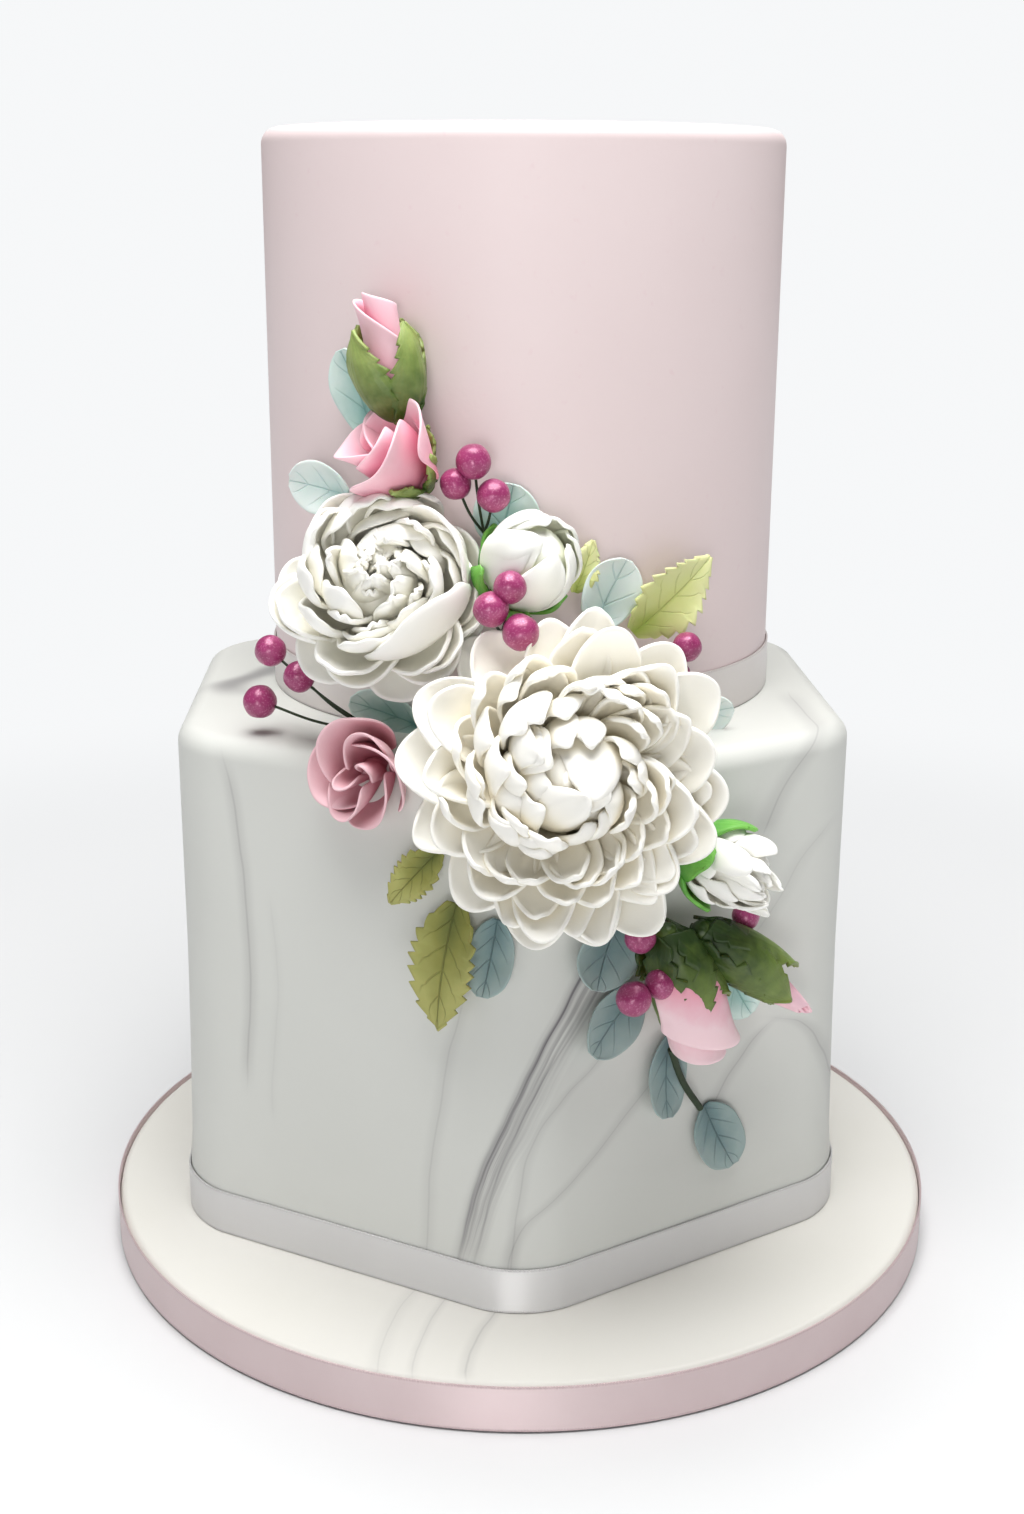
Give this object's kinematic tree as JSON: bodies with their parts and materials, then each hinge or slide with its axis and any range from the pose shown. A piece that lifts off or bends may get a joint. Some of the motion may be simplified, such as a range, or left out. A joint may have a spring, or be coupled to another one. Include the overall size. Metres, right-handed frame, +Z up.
{
  "type": "tiered wedding cake",
  "caption": "Round blush tier on a taller hexagonal marbled tier, on an iced ribboned board, with a diagonal spray of sugar flowers, berries and leaves.",
  "frame": {"origin": "middle of the board's underside", "axes": "+Z up; the front, with the spray of flowers, faces -Y; +X to the viewer's right"},
  "size_m": [0.3054, 0.3054, 0.393],
  "materials": {
    "marbled_sugarpaste": "smooth, slightly sheened",
    "blush_sugarpaste": "smooth, matt",
    "white_sugarpaste": "smooth, slightly sheened",
    "foil_board": "foil covered",
    "grey_satin": "satin ribbon",
    "pink_satin": "satin ribbon",
    "pale_satin": "satin ribbon",
    "ivory_flower_paste": "matt",
    "white_flower_paste": "matt",
    "pink_flower_paste": "matt",
    "dusky_flower_paste": "matt",
    "sepal_green": "matt",
    "fresh_green": "matt",
    "berry": "pearly sheen",
    "florist_wire": "paper tape",
    "eucalyptus": "matt, veined",
    "lime_leaf": "matt, veined",
    "olive_leaf": "matt, veined"
  },
  "bodies": {
    "root": {"board": "foil_board", "board_icing": "white_sugarpaste", "board_ribbon": "pink_satin", "lower_tier": "marbled_sugarpaste", "lower_ribbon": "grey_satin", "upper_tier": "blush_sugarpaste", "upper_ribbon": "pale_satin", "great_bloom": "ivory_flower_paste", "round_bloom": "white_flower_paste", "shut_bud": "white_flower_paste", "opening_bud": "white_flower_paste", "tall_rosebud": "pink_flower_paste", "half_open_rose": "pink_flower_paste", "side_rose": "dusky_flower_paste", "hanging_rose": "pink_flower_paste", "right_rosebud": "pink_flower_paste", "opening_bud_sepals": "fresh_green", "shut_bud_sepals": "fresh_green", "round_bloom_sepal": "fresh_green", "stem": "florist_wire", "tall_rosebud_sepals": "sepal_green", "half_open_rose_sepals": "sepal_green", "hanging_rose_sepals": "sepal_green", "right_rosebud_sepals": "sepal_green", "berry_top_1": "berry", "berry_top_2": "berry", "berry_top_3": "berry", "berry_middle_1": "berry", "berry_middle_2": "berry", "berry_middle_3": "berry", "berry_left_1": "berry", "berry_left_2": "berry", "berry_left_3": "berry", "berry_right_1": "berry", "berry_right_2": "berry", "berry_low_1": "berry", "berry_low_2": "berry", "berry_low_3": "berry", "berry_far_1": "berry", "wires_top": "florist_wire", "wires_middle": "florist_wire", "wires_left": "florist_wire", "wires_right": "florist_wire", "wires_low": "florist_wire", "blue_leaf_1": "eucalyptus", "blue_leaf_2": "eucalyptus", "blue_leaf_3": "eucalyptus", "blue_leaf_4": "eucalyptus", "blue_leaf_5": "eucalyptus", "blue_leaf_6": "eucalyptus", "blue_leaf_7": "eucalyptus", "blue_leaf_8": "eucalyptus", "blue_leaf_9": "eucalyptus", "blue_leaf_10": "eucalyptus", "blue_leaf_11": "eucalyptus", "blue_leaf_12": "eucalyptus", "lime_leaf_1": "lime_leaf", "olive_leaf_1": "olive_leaf", "lime_leaf_2": "lime_leaf", "olive_leaf_2": "olive_leaf"}
  },
  "joints": []
}
